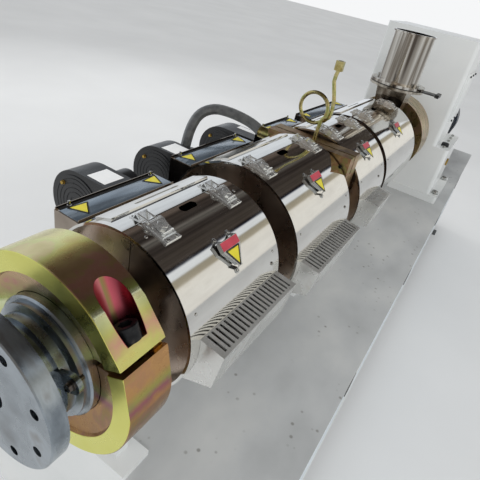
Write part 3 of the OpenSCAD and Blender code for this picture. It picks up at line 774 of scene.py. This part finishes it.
# Terminal boxes. Closed boxes of polished sheet along the back of each zone. Each lid is a folded tray with a
# scuffed blue-grey protective film, a rubber gasket beside it and a thumb post with a washer near each end.
# Plain yellow triangles are stuck on both ends.
brown_mirror = surface("polished box sheet", [(0.3, "#8F8378"), (0.6, "#A59A8E"), (0.8, "#978D84")],
                       (0.06, 0.16), (60, 60, 60), metallic=1.0, bump=0.06, grain=(90, 90, 90))
dress(brown_mirror, "terminal_box_1", "terminal_box_2", "terminal_box_3", "terminal_box_4")
film = surface("blue-grey protective film", [(0.28, "#56636F"), (0.5, "#6D7B88"), (0.66, "#8B98A3"),
                                             (0.85, "#B4BEC6")], (0.14, 0.34), (110, 22, 40), metallic=0.55,
               detail=7.0, bump=0.08, grain=(26, 9, 20), Coat_Weight=0.4)
rubber = surface("black rubber", [(0.3, "#121213"), (0.7, "#1D1D1E")], (0.6, 0.8), (10, 10, 10), bump=0.03,
                 grain=(1.5, 1.5, 1.5))
box_y, box_top = [199, 221, 221, 221], [112, 122, 122, 122]
posts, warnings = [], []
for x, l, y, top in zip(zone_x, zone_l, box_y, box_top):
    ends = (x + 24, x + l - 16)
    tray = section(f"lid_tray_{x}", [(y - 66, top), (y, top), (y, top + 5), (y - 1.5, top + 5),
                                     (y - 1.5, top + 0.8), (y - 64.5, top + 0.8), (y - 64.5, top + 5),
                                     (y - 66, top + 5)], ends[0], ends[1])
    tray.data.transform(move(0, 0, 1))
    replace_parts(done(tray, "mirror_stainless", brown_mirror), "terminal_box_lids")
    sheet = begin("cube", f"lid_film_{x}", size=1, scale=((ends[1] - ends[0] - 1) / 1000, 0.051, 0.0016),
                  location=((ends[0] + ends[1]) / 2000, (y - 37.5) / 1000, 1.0 + (top + 1.2) / 1000))
    bevel(sheet, upward, 0.0006, 2)
    done(sheet, "mirror_stainless", film)
    gasket = begin("cube", f"gasket_{x}", size=1, scale=((ends[1] - ends[0] - 8) / 1000, 0.0085, 0.0022),
                   location=((ends[0] + ends[1]) / 2000, (y - 7) / 1000, 1.0 + (top + 1.1) / 1000))
    bevel(gasket, upward, 0.0008, 2)
    done(gasket, "black_fan", rubber)
    posts += [move(e / 1000, (y - 7) / 1000, 1.0 + (top + 2.1) / 1000)
              for e in (ends[0] + 27, ends[1] - 15)]
    warnings += [move(e / 1000, (y - 28.6) / 1000, 1.0 + (top + 2) / 1000)
                 @ spin(radians(a), "Z") for e, a in ((ends[0] + 38, 174), (ends[1] - 28, 186))]
washer = begin("cylinder", "lid_washer", vertices=24, radius=0.0048, depth=0.0012, location=(0, 0, 0.0006))
bevel(washer, upward, 0.0004, 1)
post = begin("cylinder", "lid_post", vertices=20, radius=0.0031, depth=0.0085, location=(0, 0, 0.00545))
pick(post, upward)
step(0.0006, 0, 0, 0.0005)
SLOT = "sheet_stainless"
repeat(done(join(post, washer), SLOT, bright_steel), posts)
SLOT = "zinc_plate"
repeat(done(triangle("lid_triangle", 50), SLOT), warnings)

# Cooling blowers. Pressed black-painted scrolls with ringed side plates, a small brass bolt in each and a
# blank white label on top of the outlet. Small black motors stand behind them.
satin_black = surface("satin black paint", [(0.3, "#131416"), (0.6, "#1B1C1F"), (0.85, "#2A2A2B")],
                      (0.22, 0.38), (60, 60, 60), bump=0.04, grain=(2.4, 2.4, 2.4))
dress(satin_black, "blower_1", "blower_2", "blower_3", "blower_motors")
brass = surface("brass", [(0.3, "#A8873E"), (0.7, "#C9AA5A")], (0.22, 0.35), (8, 8, 8), metallic=1.0,
                bump=0.02, grain=(1, 1, 1))
bolt = done(hex_head("blower_bolt", 9, 5, 11.5), SLOT, brass)
blower_x = (204, 493, 833)
repeat(bolt, [move(x / 1000 - 0.002, 0.402, 1.030) @ spin(-pi / 2, "Y") for x in blower_x])
for x in blower_x:
    rings = [(x + 1, 80), (x - 2, 80)]
    for r in (72, 60, 48, 36):
        rings += [(x - 2, r + 1), (x - 0.8, r + 0.6), (x - 0.8, r - 0.6), (x - 2, r - 1)]
    side = turned(f"blower_side_{x}", rings + [(x - 2, 24), (x - 0.5, 23.5)], 72, 0.354, 0.983)
    done(side, "black_fan", satin_black)
paper = surface("white label film", [(0.3, "#E9EAEA"), (0.7, "#F1F1F0")], (0.35, 0.5), (20, 20, 20),
                bump=0.01, grain=(5, 5, 5))
for i, (x, wide, far, near) in enumerate([(244, 62, 330, 270), (533, 62, 350, 294), (899, 26, 331, 250)]):
    label = begin("cube", f"blower_label_{i + 1}", size=1, scale=(wide / 1000, (far - near) / 1000, 0.0006),
                  location=(x / 1000, (far + near) / 2000, 1.0753))
    bevel(label, upward, 0.0002, 1)
    done(label, SLOT, paper)

# Vent port. Two bolted steel blocks in sandy yellow zinc round the barrel, a bent gauge siphon in greener
# zinc, its fittings, and a braided steel hose that is crimped in a smooth collar.
sandy = iridescent("sandy yellow zinc", [(0.40, "#7B6144"), (0.50, "#A58A5E"), (0.58, "#B89F74"),
                   (0.66, "#A87F62"), (0.74, "#9B9560"), (0.84, "#C0A878")], (60, 50, 50), (0.3, 0.48))
greenish = iridescent("green-gold zinc", [(0.40, "#857A4C"), (0.52, "#AC9C62"), (0.62, "#C4B883"),
                      (0.72, "#9CA05E"), (0.84, "#B9906A")], (30, 30, 30), (0.2, 0.34))
dress(sandy, "vent_block")
dress(greenish, "siphon_pipe", "pipe_fittings")
braid = surface("braided stainless hose", [(0.3, "#7F8284"), (0.6, "#A3A5A6"), (0.8, "#8F908F")], (0.3, 0.5),
                (20, 20, 20), metallic=0.9)
tree = braid.node_tree
shader = tree.nodes["Principled BSDF"]
spot = add(tree, "TexCoord")
threads = []
for lean in (0.7, -0.7):
    crossed = add(tree, "Mapping", values={"Rotation": (lean, 0.4 * lean, lean), "Scale": (420, 420, 420)},
                  links={"Vector": (spot, "Object")})
    threads.append(add(tree, "TexWave", {"bands_direction": "X"}, {"Scale": 1.0, "Distortion": 0.3},
                       {"Vector": (crossed, 0)}))
woven = add(tree, "Math", {"operation": "MULTIPLY"}, links={0: (threads[0], "Fac"), 1: (threads[1], "Fac")})
relief = add(tree, "Bump", values={"Distance": 0.0006, "Strength": 1.0}, links={"Height": (woven, 0)})
tree.links.new(relief.outputs[0], shader.inputs["Normal"])
dress(braid, "vacuum_hose")
SLOT = "machined_steel"
vent_bolt = done(socket_head("vent_bolt", 10.4, 8, 6, 32), SLOT, black_oxide)
repeat(vent_bolt, [move(0.716, y / 1000, 1.0 + z / 1000) @ spin(-pi / 2, "Y")
                   for y, z in ((-122, 146), (-122, 0), (-66, 148), (60, 148), (108, 60), (108, -20))])

# Feed section. A cast throat in dark heat-resistant paint, a fabricated chute in dull stainless, a black
# slide gate with its knob, and the polished hopper tube with its flange on two hexagon bolts.
cast = surface("dark heat-resistant paint", [(0.3, "#2F3133"), (0.6, "#414345"), (0.8, "#55524E")],
               (0.5, 0.7), (40, 40, 40), metallic=0.3, bump=0.18, grain=(3.2, 3.2, 3.2))
dress(cast, "feed_throat")
# The chute's beige tint and its long up-and-down streaks are painted reflections on dull stainless
dress(surface("dull beige stainless",
              [(0.3, "#6F675D"), (0.45, "#9C9488"), (0.6, "#C4BEB3"), (0.72, "#8E867B")], (0.16, 0.32),
              (34, 34, 90), metallic=1.0, bump=0.05, grain=(12, 12, 40)), "hopper_chute")
dress(surface("blackened steel", [(0.3, "#242527"), (0.7, "#3B3B3C")], (0.3, 0.5), (20, 20, 20), metallic=0.7,
              bump=0.03, grain=(3, 3, 3)), "gate_slide")
# The tube's dark and light streaks, long up and down, are painted reflections on polished stainless
dress(surface("polished tube stainless",
              [(0.36, "#615850"), (0.44, "#B2ABA1"), (0.54, "#E0DCD5"), (0.62, "#857C71"), (0.70, "#D8D3CA")],
              (0.05, 0.14), (46, 46, 900), metallic=1.0, detail=2.0, bump=0.12, grain=(60, 60, 200)),
      "hopper_tube")
ear = radians(-18)
SLOT = "zinc_plate"
bolt = done(hex_head("hopper_bolt", 18, 7.5, 24), SLOT, bright_zinc)
ears = [(1.664 - s * 0.102 * sin(ear), s * 0.102 * cos(ear)) for s in (-1, 1)]
repeat(bolt, [move(x, y, 1.267) for x, y in ears])

# Drive flange and gearbox. The flange is turned and zinc plated, olive and gold. The gearbox is a cast
# housing in white enamel with an inspection cover, case bolts, foot bolts, a sight glass and a breather.
olive = iridescent("olive yellow zinc", [(0.40, "#665C40"), (0.50, "#8C7E50"), (0.58, "#A69464"),
                   (0.66, "#B4947A"), (0.74, "#98925E"), (0.84, "#7C6F48")], (26, 90, 90), (0.2, 0.36))
dress(olive, "drive_flange")
dress(white_enamel, "gearbox", "coupling_housing")
bolt = done(hex_head("bearing_cover_bolt", 16, 7, 18), SLOT, bright_zinc)
repeat(bolt, [move(2.046, 0, 1.0) @ spin(radians(22.5 + 45 * i), "X")
              @ move(0, 0, 0.150) @ spin(-pi / 2, "Y") for i in range(8)])
bolt = done(hex_head("case_bolt", 15, 8, 17), SLOT, bright_zinc)
repeat(bolt, [move((2090 + 80 * i) / 1000, y, 0.950) for i in range(5) for y in (-0.265, 0.265)])
bolt = done(hex_head("foot_bolt", 30, 13, 37), SLOT, bright_zinc)
repeat(bolt, [move(x, y, 0.690) for x in (2.100, 2.400) for y in (-0.322, 0.322)])
SLOT = "machined_steel"
screw = done(socket_head("cover_screw", 10, 6, 5, 24), SLOT, black_oxide)
repeat(screw, [move(x, -0.240, z) @ spin(pi / 2, "X")
               for x in (2.143, 2.250, 2.357) for z in (1.085, 1.315)])
plate = begin("cube", "inspection_cover", size=1, scale=(0.240, 0.011, 0.256),
              location=(2.250, -0.2345, 1.200))
bevel(plate, lambda c, n: n.y < -0.9, 0.003, 2)
done(plate, "white_paint", white_enamel)
glass = begin("cylinder", "sight_glass", vertices=40, radius=0.021, depth=0.009,
              location=(2.250, -0.3035, 0.840), rotation=(pi / 2, 0, 0))
glass.data.materials.append(brass)
glass.data.materials.append(surface("oil behind glass", [(0.4, "#8A5A1E"), (0.6, "#B07A2C")], (0.05, 0.1),
                                    (30, 30, 12), Coat_Weight=1.0))
pick(glass, lambda c, n: n.y < -0.9)
step(0.006, 0, 0.003, 0)
glass.active_material_index = 1
bpy.ops.object.material_slot_assign()
bevel(glass, lambda c, n: n.y < -0.9 and c.y < -0.3075, 0.001, 2)
done(glass, "zinc_plate")
breather = begin("cylinder", "breather_cap", vertices=20, radius=0.020, depth=0.018,
                 location=(2.130, -0.265, 0.959))
pick(breather, lambda c, n: abs(n.z) < 0.3)
bpy.ops.mesh.inset(thickness=0.0012, use_individual=True)
bpy.ops.transform.shrink_fatten(value=-0.0014)
bevel(breather, upward, 0.0025, 2)
done(breather, "black_fan", black_plastic)

# Drive. The coupling's bell housing is bolted to the gearbox and to the motor, a finned motor in navy enamel
# whose foot pads are bolted to the base. Its terminal box has four screws and a cable gland.
navy = surface("navy enamel", [(0.3, "#17212F"), (0.6, "#1F2C3D"), (0.85, "#2E3A49")], (0.32, 0.5),
               (70, 70, 70), bump=0.12, grain=(2.6, 2.6, 2.6))
dress(navy, "drive_motor")
done(turned("coupling_flange", [(2454, 178), (2456, 180), (2466, 180), (2468, 178)], z=0.875), "white_paint",
     white_enamel)
SLOT = "zinc_plate"
bolt = done(hex_head("coupling_bolt", 16, 8, 20), SLOT, bright_zinc)
repeat(bolt, [move(2.468, 0, 0.875) @ spin(radians(15 + 30 * i), "X")
              @ move(0, 0, 0.165) @ spin(pi / 2, "Y") for i in range(12)])
bolt = done(hex_head("motor_flange_bolt", 20, 9, 24), SLOT, bright_zinc)
repeat(bolt, [move(2.610, 0, 0.875) @ spin(radians(22.5 + 45 * i), "X")
              @ move(0, 0, 0.185) @ spin(-pi / 2, "Y") for i in range(8)])
bolt = done(hex_head("motor_foot_bolt", 24, 11, 30), SLOT, bright_zinc)
repeat(bolt, [move(x, y, 0.672) for x in (2.750, 3.030) for y in (-0.203, 0.203)])
screw = done(cross_head("motor_box_screw", 9, 4), SLOT, bright_zinc)
repeat(screw, [move(x, y, 1.155) for x in (2.806, 2.974) for y in (-0.075, 0.075)])
SLOT = "dark_paint"
pad = begin("cube", "motor_foot_pad", size=1, scale=(0.080, 0.056, 0.022), location=(0, 0, 0.661))
bevel(pad, upward, 0.003, 2)
repeat(done(pad, SLOT, navy), [move(x, y, 0) for x in (2.750, 3.030) for y in (-0.200, 0.200)])
fin = begin("cube", "motor_fin", size=1, scale=(0.526, 0.003, 0.014), location=(2.903, 0, 0.200))
bevel(fin, upward, 0.0008, 1)
repeat(done(fin, SLOT, navy), [move(0, 0, 0.875) @ spin(radians(7.5 * i), "X")
                               for i in range(48) if 4 < i < 18 or 30 < i < 44])
gland = begin("cylinder", "cable_gland", vertices=6, radius=0.020, depth=0.014,
              location=(2.875, -0.092, 1.090), rotation=(pi / 2, 0, 0))
sleeve = begin("cylinder", "gland_cap", vertices=32, radius=0.015, depth=0.022,
               location=(2.875, -0.108, 1.090), rotation=(pi / 2, 0, 0))
pick(sleeve, lambda c, n: n.y < -0.9)
step(0.006, 0, 0.006, 0)
done(join(gland, sleeve), "black_fan", black_plastic)

low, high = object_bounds()
